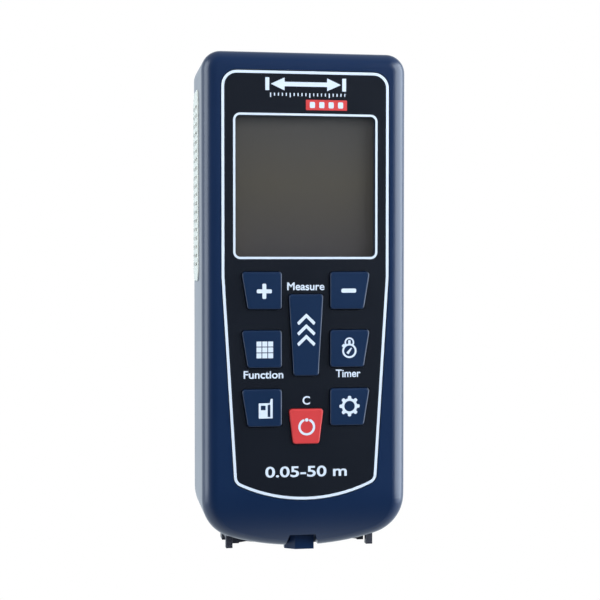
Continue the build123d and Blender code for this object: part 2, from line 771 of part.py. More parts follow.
def optical_bench():
    """Block that lines up the laser barrel and the receiver's tapered chamber."""
    bench = block((-BENCH_HALF_W, BENCH_HALF_W), BENCH_Y, BENCH_Z)
    bench = fillet(bench.edges().filter_by(Axis.Z), BENCH_EDGE_R)
    bench += block((-BENCH_HALF_W, BENCH_HALF_W), BENCH_TAB_Y, BENCH_TAB_Z)
    bench -= rod_z(LASER_X, OPTIC_Y, BARREL_R, OPTIC_BELOW, OPTIC_ABOVE)
    bench -= rod_z(RECEIVER_X, OPTIC_Y, LENS_R, LENS_Z[0], OPTIC_ABOVE)
    cone_h, cone_z = span(CHAMBER_LOW_Z, LENS_Z[0])
    bench -= Pos(RECEIVER_X, OPTIC_Y, cone_z) * Cone(CHAMBER_LOW_R, CHAMBER_TOP_R, cone_h)
    bench -= rod_z(RECEIVER_X, OPTIC_Y, CHAMBER_LOW_R, OPTIC_BELOW, CHAMBER_LOW_Z + 0.1)
    return bench - [rod_y(x, z, BOARD_HOLE_R, 0, REAR_Y) for x, z in BENCH_SCREW_XZ]


def receiver_lens():
    """Plano-convex lens, its dome toward the target."""
    dome_h = LENS_Z[1] - LENS_Z[0] - LENS_RIM_H
    dome_r = (LENS_R**2 + dome_h**2) / (2 * dome_h)
    ball = Pos(RECEIVER_X, OPTIC_Y, LENS_Z[1] - dome_r) * Sphere(dome_r)
    return rod_z(RECEIVER_X, OPTIC_Y, LENS_R, *LENS_Z) & ball


def lens_retainer():
    """Ring that holds the receiver lens in the bench."""
    ring = rod_z(RECEIVER_X, OPTIC_Y, LENS_R, LENS_Z[1] - RETAINER_H, BENCH_Z[1])
    core = rod_z(RECEIVER_X, OPTIC_Y, LENS_R - RETAINER_WALL, OPTIC_BELOW, OPTIC_ABOVE)
    return ring - core - receiver_lens()


def laser_barrel():
    """Tube that holds the diode at its foot and the collimator near its mouth."""
    bore = rod_z(LASER_X, OPTIC_Y, BARREL_BORE_R, OPTIC_BELOW, OPTIC_ABOVE)
    return rod_z(LASER_X, OPTIC_Y, BARREL_R, *BARREL_Z) - bore


def laser_diode():
    """Round can on a flange with three pins."""
    low = BARREL_Z[0]
    can_z = low + DIODE_FLANGE_H
    can = rod_z(LASER_X, OPTIC_Y, BARREL_BORE_R, low, can_z)
    can += rod_z(LASER_X, OPTIC_Y, DIODE_CAN_R, can_z, can_z + DIODE_CAN_H)
    for angle in (math.radians(90), math.radians(210), math.radians(330)):
        x = LASER_X + DIODE_PIN_CIRCLE_R * math.cos(angle)
        y = OPTIC_Y + DIODE_PIN_CIRCLE_R * math.sin(angle)
        can += rod_z(x, y, DIODE_PIN_R, low - DIODE_PIN_L, low)
    return can


def collimator_lens():
    """Small plano-convex lens in the barrel."""
    ball = Pos(LASER_X, OPTIC_Y, COLLIMATOR_Z[1] - COLLIMATOR_DOME_R) * Sphere(COLLIMATOR_DOME_R)
    return rod_z(LASER_X, OPTIC_Y, BARREL_BORE_R, *COLLIMATOR_Z) & ball


def detector_board():
    """Small board under the receiver chamber."""
    x_range = (RECEIVER_X - DETECTOR_HALF_W, RECEIVER_X + DETECTOR_HALF_W)
    return block(x_range, (BENCH_Y[0] + 1, DETECTOR_BACK), DETECTOR_Z)


def photodiode():
    """Round can under the chamber, with the filter's seat at its top."""
    can_z = DETECTOR_Z[1] + PHOTODIODE_FLANGE_H
    can = rod_z(RECEIVER_X, OPTIC_Y, PHOTODIODE_FLANGE_R, DETECTOR_Z[1], can_z)
    return can + rod_z(RECEIVER_X, OPTIC_Y, PHOTODIODE_CAN_R, can_z, BENCH_Z[0])


def light_filter():
    """Disc filter at the foot of the receiver chamber."""
    return rod_z(RECEIVER_X, OPTIC_Y, CHAMBER_LOW_R, BENCH_Z[0], BENCH_Z[0] + FILTER_H)


def corner_at(face, x, y):
    """The corner of a drawn face that is at a point."""
    return face.vertices().filter_by(lambda v: abs(v.X - x) < 0.01 and abs(v.Y - y) < 0.01)


def ribbon(x_middle, width, z_top, z_low, y_end):
    """Flat flexible strip that runs forward, bends down, and ends in its socket."""
    y_out = RIBBON_Y + RIBBON_T
    z_in = z_top - RIBBON_T
    outer_line = Polyline((y_end, z_top), (RIBBON_Y, z_top), (RIBBON_Y, z_low), (y_out, z_low))
    inner_line = Polyline((y_out, z_low), (y_out, z_in), (y_end, z_in), (y_end, z_top))
    face = make_face(outer_line + inner_line)
    face = fillet(corner_at(face, RIBBON_Y, z_top), RIBBON_BEND_R)
    face = fillet(corner_at(face, y_out, z_in), RIBBON_BEND_R - RIBBON_T)
    return bar(face, x_middle - width / 2, x_middle + width / 2)


def optics_bezel():
    """Top insert with the laser and receiver openings and pockets for their panes."""
    cap = plate(bezel_outline(0), BEZEL_LIP_Z, BEZEL_TOP_Z)
    cap = fillet(cap.faces().sort_by(Axis.Z)[-1].edges(), BEZEL_EDGE_R)
    cap += plate(bezel_outline(BEZEL_LIP), BEZEL_LIP_Z, INNER_TOP)
    for x, pane_r in ((LASER_X, LASER_PANE_R), (RECEIVER_X, RECEIVER_PANE_R)):
        cap -= rod_z(x, OPTIC_Y, pane_r - PANE_LEDGE, OPTIC_BELOW, OPTIC_ABOVE)
        cap -= rod_z(x, OPTIC_Y, pane_r, OPTIC_BELOW, BEZEL_LIP_Z + WINDOW_DISC_T)
    return cap


def pane(x, radius):
    """Round window in the optics bezel."""
    return rod_z(x, OPTIC_Y, radius, BEZEL_LIP_Z, BEZEL_LIP_Z + WINDOW_DISC_T)


def tripod_bush():
    """Brass insert for a quarter-inch tripod screw, modelled at the thread's minor diameter."""
    bush = rod_y(0, BUSH_Z, BUSH_R, *BUSH_Y) - rod_y(0, BUSH_Z, BUSH_BORE_R, 0, REAR_Y + 1)
    rim = bush.edges().filter_by(GeomType.CIRCLE).filter_by(lambda e: abs(e.radius - BUSH_BORE_R) < 0.01)
    return chamfer(rim.sort_by(Axis.Y)[-1], BUSH_CHAMFER)


def side_grip(side):
    """Soft grip let into one side of the rear shell."""
    grip = bar(grip_plan(-0.05), HALF_W - GRIP_LET_IN, HALF_W + GRIP_PROUD)
    grip = fillet(grip.faces().sort_by(Axis.X)[-1].edges(), GRIP_PROUD - 0.05)
    return grip if side > 0 else mirror(grip, about=Plane.YZ)


def feet(outer):
    """Two arched foot plates under the base, which also carry the bracket's pins."""
    profile = rounded(FOOT_Y, (0, FOOT_TOP_Z + 1), FOOT_EDGE_R)
    foot = bar(profile, *FOOT_X) - outer
    foot &= block((0, HALF_W), FOOT_Y, (0, FOOT_TOP_Z))
    foot -= block((0, HALF_W), FOOT_ARCH_Y, (-1, FOOT_ARCH_Z))
    foot -= hinge_rod(HINGE_PIN_R, HINGE_LUG_X[0], PIN_END_X)
    return both_sides(foot)


def bracket_pins():
    """Pins that carry the bracket, one at each side."""
    return both_sides(hinge_rod(HINGE_PIN_R, HINGE_LUG_X[0], PIN_END_X))


def end_bracket():
    """Fold-out bracket: a thin curved front bar on two arms that taper from their hinge eyes."""
    centre_z = BAR_Z + BAR_R
    rise = BAR_R - math.sqrt(BAR_R**2 - ARM_X[1] ** 2)
    ring = Pos(0, centre_z) * (Circle(BAR_R) - Circle(BAR_R - BAR_T))
    low = BAR_Z + rise
    front = slab(ring, *BAR_Y) & block((-ARM_X[1], ARM_X[1]), BAR_Y, (0, low + BAR_T))
    inner_z = centre_z - math.sqrt(BAR_R**2 - GUSSET_X**2)
    gusset = make_face(
        Polyline((GUSSET_X, inner_z), (ARM_X[1], GUSSET_Z), (ARM_X[1], low + BAR_T), close=True)
    )
    front += both_sides(slab(gusset, *BAR_Y))
    arm_profile = make_face(
        Polyline(
            (BAR_Y[0], GUSSET_Z),
            (BAR_Y[0], low + BAR_T),
            (HINGE_Y, HINGE_Z + HINGE_DISC_R),
            (HINGE_Y, HINGE_Z - HINGE_DISC_R),
            close=True,
        )
    )
    arm = bar(arm_profile, *ARM_X) + hinge_rod(HINGE_DISC_R, *ARM_X)
    arm -= hinge_rod(HINGE_PIN_R + HINGE_GAP, *ARM_X)
    return front + both_sides(arm)


def case_screw(x, z):
    """Pan-head screw with a cross recess, driven from the rear."""
    head_back = CASE_SEAT_Y + CASE_HEAD_H
    head = rod_y(x, z, CASE_HEAD_R, CASE_SEAT_Y, head_back)
    recess_y = (head_back - CROSS_DEPTH, head_back)
    long_x, short_x = (x - CROSS_HALF_L, x + CROSS_HALF_L), (x - CROSS_HALF_W, x + CROSS_HALF_W)
    long_z, short_z = (z - CROSS_HALF_L, z + CROSS_HALF_L), (z - CROSS_HALF_W, z + CROSS_HALF_W)
    arms = block(long_x, recess_y, short_z) + block(short_x, recess_y, long_z)
    return head + rod_y(x, z, CASE_SHANK_R, CASE_PILOT_Y + 0.3, CASE_SEAT_Y) - arms


def board_screw(x, z):
    """Small screw that holds the main board to its post."""
    head = rod_y(x, z, BOARD_SCREW_HEAD_R, BOARD_BACK, BOARD_BACK + BOARD_SCREW_HEAD_H)
    return head + rod_y(x, z, SMALL_SHANK_R, BOARD_SCREW_TIP, BOARD_BACK)


def bench_screw(x, z):
    """Small screw that holds the optical bench to its post."""
    head_back = BENCH_TAB_Y[0]
    head = rod_y(x, z, BENCH_SCREW_HEAD_R, head_back - BENCH_SCREW_HEAD_H, head_back)
    return head + rod_y(x, z, SMALL_SHANK_R, head_back, INNER_REAR)


def nodes():
    """Every sub-part by its node name."""
    outer = body_solid(0)
    inner = body_solid(WALL)
    tree = {
        "front_housing": front_housing(outer, inner),
        "rear_housing": rear_housing(outer, inner),
        "housing_gasket": gasket_ring(),
        "panel_overlay": panel_overlay(),
        "display_window": display_window(),
        "display_gasket": display_gasket(),
        "lcd_panel": slab(lcd_outline(0), LCD_FRONT, LCD_BACK),
        "lcd_backlight": lcd_backlight(),
        "lcd_frame": lcd_frame(),
        "zebra_strip": block((-16, 16), (LCD_BACK, BOARD_FRONT), (ZEBRA_LOW_Z, ZEBRA_TOP_Z)),
        "main_board": main_board(),
        "snap_domes": snap_domes(),
        "keypad_mat": keypad_mat(),
        "processor_chip": chip(*PROCESSOR),
        "board_components": board_components(),
        "buzzer": rod_y(*BUZZER_XZ, BUZZER_R, BOARD_BACK, BOARD_BACK + BUZZER_H),
        "battery_left": battery_cell(-CELL_X, nub_up=True),
        "battery_right": battery_cell(CELL_X, nub_up=False),
        "bridge_contact": bridge_contact(),
        "plus_contact": top_contact(-CELL_X, raised=True),
        "minus_contact": top_contact(CELL_X, raised=False),
        "battery_springs": battery_springs(),
        "battery_door": battery_door(),
        "door_foam": door_foam(),
        "optical_bench": optical_bench(),
        "receiver_lens": receiver_lens(),
        "lens_retainer": lens_retainer(),
        "laser_barrel": laser_barrel(),
        "laser_diode": laser_diode(),
        "collimator_lens": collimator_lens(),
        "detector_board": detector_board(),
        "photodiode": photodiode(),
        "light_filter": light_filter(),
        "detector_ribbon": ribbon(RECEIVER_X, 7.0, DETECTOR_Z[0], 75.0, 3.0),
        "laser_ribbon": ribbon(LASER_X, 5.0, BARREL_Z[0] - 3.0, 76.5, 6.0),
        "optics_bezel": optics_bezel(),
        "laser_window": pane(LASER_X, LASER_PANE_R),
        "receiver_window": pane(RECEIVER_X, RECEIVER_PANE_R),
        "tripod_bush": tripod_bush(),
        "side_grip_left": side_grip(-1),
        "side_grip_right": side_grip(1),
        "rear_label": slab(label_outline(), REAR_Y - LABEL_T, REAR_Y),
        "feet": feet(outer),
        "end_bracket": end_bracket(),
        "bracket_pins": bracket_pins(),
        "case_screws": [case_screw(x, z) for x, z in CASE_SCREWS],
        "board_screws": [board_screw(x, z) for x, z in board_screw_points()],
        "bench_screws": [bench_screw(x, z) for x, z in BENCH_SCREW_XZ],
    }
    tree.update({name: key_cap(shape, stem) for name, (shape, stem) in KEYS.items()})
    return tree


def solids_of(shape):
    """All solids of a shape or a list of shapes."""
    shapes = shape if isinstance(shape, (list, tuple)) else [shape]
    return [solid for item in shapes for solid in item.solids()]


def main():
    os.makedirs("parts", exist_ok=True)
    for name, shape in nodes().items():
        solids = solids_of(shape)
        export_step(solids[0] if len(solids) == 1 else Compound(solids), f"parts/{name}.step")


main()
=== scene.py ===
"""Looks of the laser distance meter: materials, printed marks, grips, stage, lights and camera."""

import json
import math

import bmesh
import bpy
from mathutils import Matrix, Vector


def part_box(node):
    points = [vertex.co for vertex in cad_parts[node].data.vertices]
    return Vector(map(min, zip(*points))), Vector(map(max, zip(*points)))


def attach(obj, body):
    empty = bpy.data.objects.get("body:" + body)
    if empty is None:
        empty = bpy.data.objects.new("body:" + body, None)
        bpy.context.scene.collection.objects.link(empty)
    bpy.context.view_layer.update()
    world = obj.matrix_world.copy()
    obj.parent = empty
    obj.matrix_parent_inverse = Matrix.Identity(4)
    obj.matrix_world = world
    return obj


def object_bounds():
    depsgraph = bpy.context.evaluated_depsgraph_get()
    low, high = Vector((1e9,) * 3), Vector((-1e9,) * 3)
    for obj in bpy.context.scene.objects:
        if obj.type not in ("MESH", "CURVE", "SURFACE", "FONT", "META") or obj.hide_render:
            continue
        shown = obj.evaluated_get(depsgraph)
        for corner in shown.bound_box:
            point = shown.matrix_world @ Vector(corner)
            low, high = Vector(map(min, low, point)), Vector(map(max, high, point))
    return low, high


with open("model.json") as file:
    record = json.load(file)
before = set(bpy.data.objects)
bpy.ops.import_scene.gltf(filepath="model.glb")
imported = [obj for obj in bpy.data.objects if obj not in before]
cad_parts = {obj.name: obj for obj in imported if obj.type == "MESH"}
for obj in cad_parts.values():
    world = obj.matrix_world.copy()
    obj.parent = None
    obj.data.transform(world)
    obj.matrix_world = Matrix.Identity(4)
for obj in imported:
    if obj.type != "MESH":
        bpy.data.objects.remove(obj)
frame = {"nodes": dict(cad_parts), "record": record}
CAD_LOW, CAD_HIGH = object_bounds()

MM = 0.001

# Where things are, in millimetres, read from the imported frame
OVERLAY_LOW, OVERLAY_HIGH = (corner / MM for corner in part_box("panel_overlay"))
PANE_LOW, PANE_HIGH = (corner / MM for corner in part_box("display_window"))
FACE_Y = OVERLAY_LOW.y
PANEL_TOP = OVERLAY_HIGH.z


# ---------------------------------------------------------------- materials


def node(tree, kind, **settings):
    """Add a shader node and set its plain settings."""
    made = tree.nodes.new(kind)
    for name, value in settings.items():
        setattr(made, name, value)
    return made


# Noise stays within these values nearly everywhere
NOISE_LOW = 0.15
NOISE_HIGH = 0.85


def colour_drift(tree, low, high, scale, detail=2.0, stretch=(1, 1, 1)):
    """Base colour that drifts between two close tones over the surface."""
    coordinates = node(tree, "ShaderNodeTexCoord")
    mapping = node(tree, "ShaderNodeMapping")
    mapping.inputs["Scale"].default_value = stretch
    noise = node(tree, "ShaderNodeTexNoise")
    noise.inputs["Scale"].default_value = scale
    noise.inputs["Detail"].default_value = detail
    ramp = node(tree, "ShaderNodeValToRGB")
    ramp.color_ramp.interpolation = "EASE"
    ramp.color_ramp.elements[0].position = NOISE_LOW
    ramp.color_ramp.elements[1].position = NOISE_HIGH
    ramp.color_ramp.elements[0].color = (*low, 1)
    ramp.color_ramp.elements[1].color = (*high, 1)
    tree.links.new(coordinates.outputs["Object"], mapping.inputs["Vector"])
    tree.links.new(mapping.outputs["Vector"], noise.inputs["Vector"])
    tree.links.new(noise.outputs["Fac"], ramp.inputs["Fac"])
    return mapping, ramp


def add_bump(tree, shader, mapping, scale, strength, depth):
    """Fine surface grain."""
    grain = node(tree, "ShaderNodeTexNoise")
    grain.inputs["Scale"].default_value = scale
    grain.inputs["Detail"].default_value = 2.0
    bump = node(tree, "ShaderNodeBump")
    bump.inputs["Strength"].default_value = strength
    bump.inputs["Distance"].default_value = depth
    tree.links.new(mapping.outputs["Vector"], grain.inputs["Vector"])
    tree.links.new(grain.outputs["Fac"], bump.inputs["Height"])
    tree.links.new(bump.outputs["Normal"], shader.inputs["Normal"])


def add_gloss_drift(tree, shader, mapping, low, high, scale):
    """Roughness that drifts between two values."""
    smudge = node(tree, "ShaderNodeTexNoise")
    smudge.inputs["Scale"].default_value = scale
    spread = node(tree, "ShaderNodeMapRange", interpolation_type="SMOOTHSTEP")
    spread.inputs["From Min"].default_value = NOISE_LOW
    spread.inputs["From Max"].default_value = NOISE_HIGH
    spread.inputs["To Min"].default_value = low
    spread.inputs["To Max"].default_value = high
    tree.links.new(mapping.outputs["Vector"], smudge.inputs["Vector"])
    tree.links.new(smudge.outputs["Fac"], spread.inputs["Value"])
    tree.links.new(spread.outputs["Result"], shader.inputs["Roughness"])


# Grain is its noise scale, its strength, and its depth in metres
PLAIN_GRAIN = (9000.0, 0.15, 0.00002)
NAVY_GRAIN = (7000.0, 0.12, 0.00002)


def surface(name, low, high, rough, tone_scale=60.0, grain=PLAIN_GRAIN, stretch=(1, 1, 1), **sockets):
    """Material with drifting tone, drifting gloss and fine grain."""
    made = bpy.data.materials.new(name)
    made.use_nodes = True
    tree = made.node_tree
    shader = tree.nodes["Principled BSDF"]
    mapping, ramp = colour_drift(tree, low, high, tone_scale, stretch=stretch)
    tree.links.new(ramp.outputs["Color"], shader.inputs["Base Color"])
    add_gloss_drift(tree, shader, mapping, *rough, tone_scale * 2)
    add_bump(tree, shader, mapping, *grain)
    for socket, value in sockets.items():
        shader.inputs[socket.replace("_", " ")].default_value = value
    return made


# Display tones. The warm tone is the display's own colour. The cool, darker tone at the top and the low
# tone at the bottom are painted shade from the window frame. The cool tone is also one end of the random
# cloudy drift.
LCD_COOL_TONE_AND_TOP_SHADE = (0.080, 0.080, 0.087)
LCD_WARM = (0.110, 0.091, 0.061)
LCD_BOTTOM_SHADE = (0.066, 0.051, 0.046)
LCD_SHADE_STOPS = ((0.05, LCD_BOTTOM_SHADE), (0.50, LCD_WARM), (0.95, LCD_COOL_TONE_AND_TOP_SHADE))
LCD_ROUGH = (0.22, 0.26)
LCD_CLOUD_SCALE = 22.0
LCD_GRAIN = (3000.0, 0.03, 0.00001)


def display_with_painted_shade():
    """Unlit display: cool grey at the top and darker at the bottom, both painted shade from the window
    frame, warmer between, with soft cloudy patches.
    """
    made = surface("lcd_glass", LCD_COOL_TONE_AND_TOP_SHADE, LCD_WARM, LCD_ROUGH, LCD_CLOUD_SCALE, LCD_GRAIN)
    tree = made.node_tree
    shader = tree.nodes["Principled BSDF"]
    coordinates = node(tree, "ShaderNodeTexCoord")
    split = node(tree, "ShaderNodeSeparateXYZ")
    # Painted shade: the colour darkens from the warm middle toward the top and the bottom of the display.
    edge_shade_fade = node(tree, "ShaderNodeValToRGB")
    edge_shade_fade.color_ramp.elements.new(0.5)
    for stop, (place, tone) in zip(edge_shade_fade.color_ramp.elements, LCD_SHADE_STOPS):
        stop.position = place
        stop.color = (*tone, 1)
    blend = node(tree, "ShaderNodeMix", data_type="RGBA")
    blend.inputs["Factor"].default_value = 0.5
    clouds = shader.inputs["Base Color"].links[0].from_socket
    tree.links.new(coordinates.outputs["Generated"], split.inputs["Vector"])
    tree.links.new(split.outputs["Z"], edge_shade_fade.inputs["Fac"])
    tree.links.new(clouds, blend.inputs[6])
    tree.links.new(edge_shade_fade.outputs["Color"], blend.inputs[7])
    tree.links.new(blend.outputs[2], shader.inputs["Base Color"])
    return made


FINISHES = {
    "navy_shell": {
        "low": (0.0037, 0.0150, 0.050),
        "high": (0.0044, 0.0168, 0.055),
        "rough": (0.278, 0.302),
        "tone_scale": 45.0,
        "grain": NAVY_GRAIN,
    },
    "navy_key": {
        "low": (0.0045, 0.0165, 0.049),
        "high": (0.0053, 0.0187, 0.055),
        "rough": (0.278, 0.302),
        "tone_scale": 90.0,
        "grain": NAVY_GRAIN,
    },
    "red_key": {
        "low": (0.50, 0.032, 0.033),
        "high": (0.55, 0.038, 0.040),
        "rough": (0.36, 0.44),
        "tone_scale": 120.0,
        "grain": NAVY_GRAIN,
    },
    "black_overlay": {
        "low": (0.0070, 0.0088, 0.0135),
        "high": (0.0082, 0.0102, 0.0152),
        "rough": (0.22, 0.26),
        "tone_scale": 40.0,
        "grain": (5000.0, 0.08, 0.00001),
    },
    "white_plastic": {
        "low": (0.55, 0.61, 0.70),
        "high": (0.59, 0.65, 0.74),
        "rough": (0.45, 0.55),
        "tone_scale": 150.0,
    },
    "grey_silicone": {
        "low": (0.20, 0.20, 0.21),
        "high": (0.26, 0.26, 0.27),
        "rough": (0.65, 0.75),
    },
    "black_foam": {
        "low": (0.012, 0.012, 0.013),
        "high": (0.03, 0.03, 0.03),
        "rough": (0.85, 0.95),
        "tone_scale": 900.0,
        "grain": (2500.0, 0.8, 0.0002),
    },
    "circuit_board": {
        "low": (0.010, 0.11, 0.035),
        "high": (0.016, 0.16, 0.055),
        "rough": (0.30, 0.42),
        "tone_scale": 300.0,
    },
    "contact_steel": {
        "low": (0.60, 0.59, 0.56),
        "high": (0.70, 0.69, 0.66),
        "rough": (0.28, 0.36),
        "tone_scale": 200.0,
        "Metallic": 1.0,
    },
    "screw_steel": {
        "low": (0.34, 0.34, 0.35),
        "high": (0.44, 0.44, 0.45),
        "rough": (0.28, 0.42),
        "tone_scale": 400.0,
        "Metallic": 1.0,
    },
    "chip_resin": {
        "low": (0.014, 0.014, 0.016),
        "high": (0.022, 0.022, 0.024),
        "rough": (0.50, 0.62),
        "tone_scale": 500.0,
    },
    "cell_jacket": {
        "low": (0.58, 0.60, 0.62),
        "high": (0.66, 0.68, 0.70),
        "rough": (0.28, 0.36),
        "tone_scale": 90.0,
    },
    "bench_alloy": {
        "low": (0.40, 0.41, 0.43),
        "high": (0.50, 0.51, 0.53),
        "rough": (0.42, 0.58),
        "tone_scale": 300.0,
        "grain": (3000.0, 0.4, 0.00005),
        "Metallic": 1.0,
    },
    "black_plastic": {
        "low": (0.012, 0.012, 0.014),
        "high": (0.017, 0.017, 0.019),
        "rough": (0.40, 0.50),
        "tone_scale": 80.0,
        "grain": NAVY_GRAIN,
    },
    "brass": {
        "low": (0.66, 0.46, 0.18),
        "high": (0.74, 0.54, 0.24),
        "rough": (0.28, 0.36),
        "tone_scale": 250.0,
        "stretch": (1, 12, 1),
        "Metallic": 1.0,
    },
    "amber_film": {
        "low": (0.42, 0.17, 0.03),
        "high": (0.54, 0.24, 0.05),
        "rough": (0.18, 0.26),
        "tone_scale": 150.0,
    },
    "pale_grip": {
        "low": (0.61, 0.62, 0.56),
        "high": (0.68, 0.69, 0.63),
        "rough": (0.60, 0.72),
        "tone_scale": 200.0,
        "grain": (4000.0, 0.35, 0.00004),
    },
    "silver_label": {
        "low": (0.52, 0.53, 0.55),
        "high": (0.60, 0.61, 0.63),
        "rough": (0.28, 0.36),
        "tone_scale": 60.0,
        "stretch": (1, 1, 30),
        "Metallic": 0.7,
    },
    "charcoal_plastic": {
        "low": (0.022, 0.022, 0.034),
        "high": (0.032, 0.032, 0.046),
        "rough": (0.48, 0.60),
        "tone_scale": 200.0,
        "grain": NAVY_GRAIN,
    },
    "clear_window": {
        "low": (0.030, 0.034, 0.040),
        "high": (0.040, 0.044, 0.050),
        "rough": (0.04, 0.08),
        "tone_scale": 30.0,
        "grain": (2000.0, 0.01, 0.000005),
        "Alpha": 0.14,
    },
    "lens_glass": {
        "low": (0.80, 0.90, 0.97),
        "high": (0.86, 0.93, 0.98),
        "rough": (0.01, 0.03),
        "tone_scale": 60.0,
        "grain": (2000.0, 0.01, 0.000005),
        "Transmission_Weight": 1.0,
        "IOR": 1.52,
        "Coat_Weight": 0.4,
    },
}
MATERIALS = {name: surface(name, **look) for name, look in FINISHES.items()}
MATERIALS["lcd_glass"] = display_with_painted_shade()
PRINT_WHITE = MATERIALS["white_plastic"]
PRINT_RED = MATERIALS["red_key"]
PRINT_DARK = MATERIALS["black_overlay"]

for part in frame["record"]["subparts"]:
    for held in frame["nodes"][part["node"]].material_slots:
        held.material = MATERIALS[part["material_slot"]]


# ---------------------------------------------------------------- flat shapes, drawn in X and Z


NEARLY_STRAIGHT = math.radians(89.5)
CAP_STEPS = 8
LEAST_LEAN = 0.3


def round_corners(points, radii, steps=6):
    """Closed outline with an arc at each corner. radii is one value, or one for each corner."""
    count = len(points)
    if not hasattr(radii, "__len__"):
        radii = [radii] * count
    loop = []
    for i, radius in enumerate(radii):
        here = Vector(points[i])
        back = (Vector(points[i - 1]) - here).normalized()
        ahead = (Vector(points[(i + 1) % count]) - here).normalized()
        half = math.acos(max(-1.0, min(1.0, back.dot(ahead)))) / 2
        if radius == 0 or half > NEARLY_STRAIGHT:
            loop.append(tuple(here))
            continue
        reach = radius / math.tan(half)
        centre = here + (back + ahead).normalized() * (radius / math.sin(half))
        start = here + back * reach - centre
        finish = here + ahead * reach - centre
        turn = start.angle_signed(finish)
        for step in range(steps + 1):
            share = -turn * step / steps
            cosine, sine = math.cos(share), math.sin(share)
            across = start.x * cosine - start.y * sine
            up = start.x * sine + start.y * cosine
            loop.append((centre.x + across, centre.y + up))
    return loop


def box(x, z, width, height, radius=0.0):
    """Rectangle about a middle point."""
    w, h = width / 2, height / 2
    return round_corners([(x - w, z - h), (x + w, z - h), (x + w, z + h), (x - w, z + h)], radius)


def circle(x, z, radius, steps=48):
    """Closed round outline."""
    turn = 2 * math.pi / steps
    return [(x + radius * math.cos(turn * i), z + radius * math.sin(turn * i)) for i in range(steps)]


def arc_band(x, z, outer, inner, start_deg, end_deg, steps=48):
    """Part of a ring with round ends."""

    def point(radius, angle):
        return (x + radius * math.cos(angle), z + radius * math.sin(angle))

    def round_end(place, lean):
        tip_x, tip_z = point((outer + inner) / 2, place)
        radius = (outer - inner) / 2
        angles = [lean + math.pi * i / CAP_STEPS for i in range(1, CAP_STEPS)]
        return [(tip_x + radius * math.cos(a), tip_z + radius * math.sin(a)) for a in angles]

    start, end = math.radians(start_deg), math.radians(end_deg)
    loop = [point(outer, start + (end - start) * i / steps) for i in range(steps + 1)]
    loop += round_end(end, end)
    loop += [point(inner, end + (start - end) * i / steps) for i in range(steps + 1)]
    loop += round_end(start, start + math.pi)
    return loop


def inset(loop, distance):
    """Closed outline moved inward by a distance. The outline runs anticlockwise."""
    count = len(loop)
    moved = []
    for i in range(count):
        here = Vector(loop[i])
        before = (here - Vector(loop[i - 1])).normalized()
        after = (Vector(loop[(i + 1) % count]) - here).normalized()
        side = Vector((-before.y - after.y, before.x + after.x))
        if side.length < 1e-6:
            side = Vector((-before.y, before.x))
        side.normalize()
        lean = max(LEAST_LEAN, side.dot(Vector((-before.y, before.x))))
        moved.append(tuple(here + side * (distance / lean)))
    return moved


LEVEL_STEP = 0.0008


def stamp(name, groups, y_front, depth, material, body):
    """Thin solid piece from groups of outlines in X and Z, in millimetres.

    A loop inside a loop is a hole. Each group stands a hair prouder than the one before, so that
    groups may cross.
    """
    whole = bmesh.new()
    for level, loops in enumerate(groups):
        curve = bpy.data.curves.new(name, "CURVE")
        curve.dimensions = "2D"
        curve.fill_mode = "BOTH"
        curve.extrude = (depth / 2 + LEVEL_STEP * level) * MM
        for loop in loops:
            spline = curve.splines.new("POLY")
            spline.points.add(len(loop) - 1)
            for point, (x, z) in zip(spline.points, loop):
                point.co = (x * MM, z * MM, 0, 1)
            spline.use_cyclic_u = True
        whole.from_mesh(mesh_of(curve))
    return finish_stamp(name, whole, y_front, depth, material, body)


def mesh_of(curve):
    """Mesh of a filled curve. The curve is then removed."""
    holder = bpy.data.objects.new("holder", curve)
    bpy.context.scene.collection.objects.link(holder)
    bpy.context.view_layer.update()
    depsgraph = bpy.context.evaluated_depsgraph_get()
    mesh = bpy.data.meshes.new_from_object(holder.evaluated_get(depsgraph))
    bpy.data.objects.remove(holder)
    return mesh


def finish_stamp(name, whole, y_front, depth, material, body):
    """Stand a flat shape up in the X-Z plane, give it its material, and ride it."""
    bmesh.ops.remove_doubles(whole, verts=whole.verts, dist=1e-8)
    upright = Matrix.Rotation(math.radians(90), 4, "X")
    whole.transform(Matrix.Translation((0, (y_front + depth / 2) * MM, 0)) @ upright)
    mesh = bpy.data.meshes.new(name)
    whole.to_mesh(mesh)
    whole.free()
    mesh.materials.clear()
    mesh.materials.append(material)
    piece = bpy.data.objects.new(name, mesh)
    bpy.context.scene.collection.objects.link(piece)
    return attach(piece, body)


def words(name, text, x, z, width, height, y_front, depth, material, body, slot, weight):
    """Printed letters fitted to a width and a height about a middle point."""
    curve = bpy.data.curves.new(name, "FONT")
    curve.body = text
    curve.extrude = depth * MM / 2
    curve.offset = weight
    whole = bmesh.new()
    whole.from_mesh(mesh_of(curve))
    flat = [(v.co.x, v.co.y) for v in whole.verts]
    low = [min(p[i] for p in flat) for i in (0, 1)]
    high = [max(p[i] for p in flat) for i in (0, 1)]
    for vertex in whole.verts:
        vertex.co.x = x * MM + ((vertex.co.x - low[0]) / (high[0] - low[0]) - 0.5) * width * MM
        vertex.co.y = z * MM + ((vertex.co.y - low[1]) / (high[1] - low[1]) - 0.5) * height * MM
    return finish_stamp(name, whole, y_front, depth, material, body)


# ---------------------------------------------------------------- printed marks

INK = 0.03
INK_SINK = 0.02
EDGE_LINE = 0.62
EDGE_MARGIN = 0.08
PANEL_TAPER_Z = 63.6
PANEL_LOW_HALF = 16.5
PANEL_LOW_Z = 16.6
PANEL_BASE_Z = 12.55
PANEL_TOP_R = 3.6
PANEL_LOW_R = 2.4
CHIN_SHARE = 0.88
CHIN_STEPS = 8
LETTER_WEIGHT = 0.018


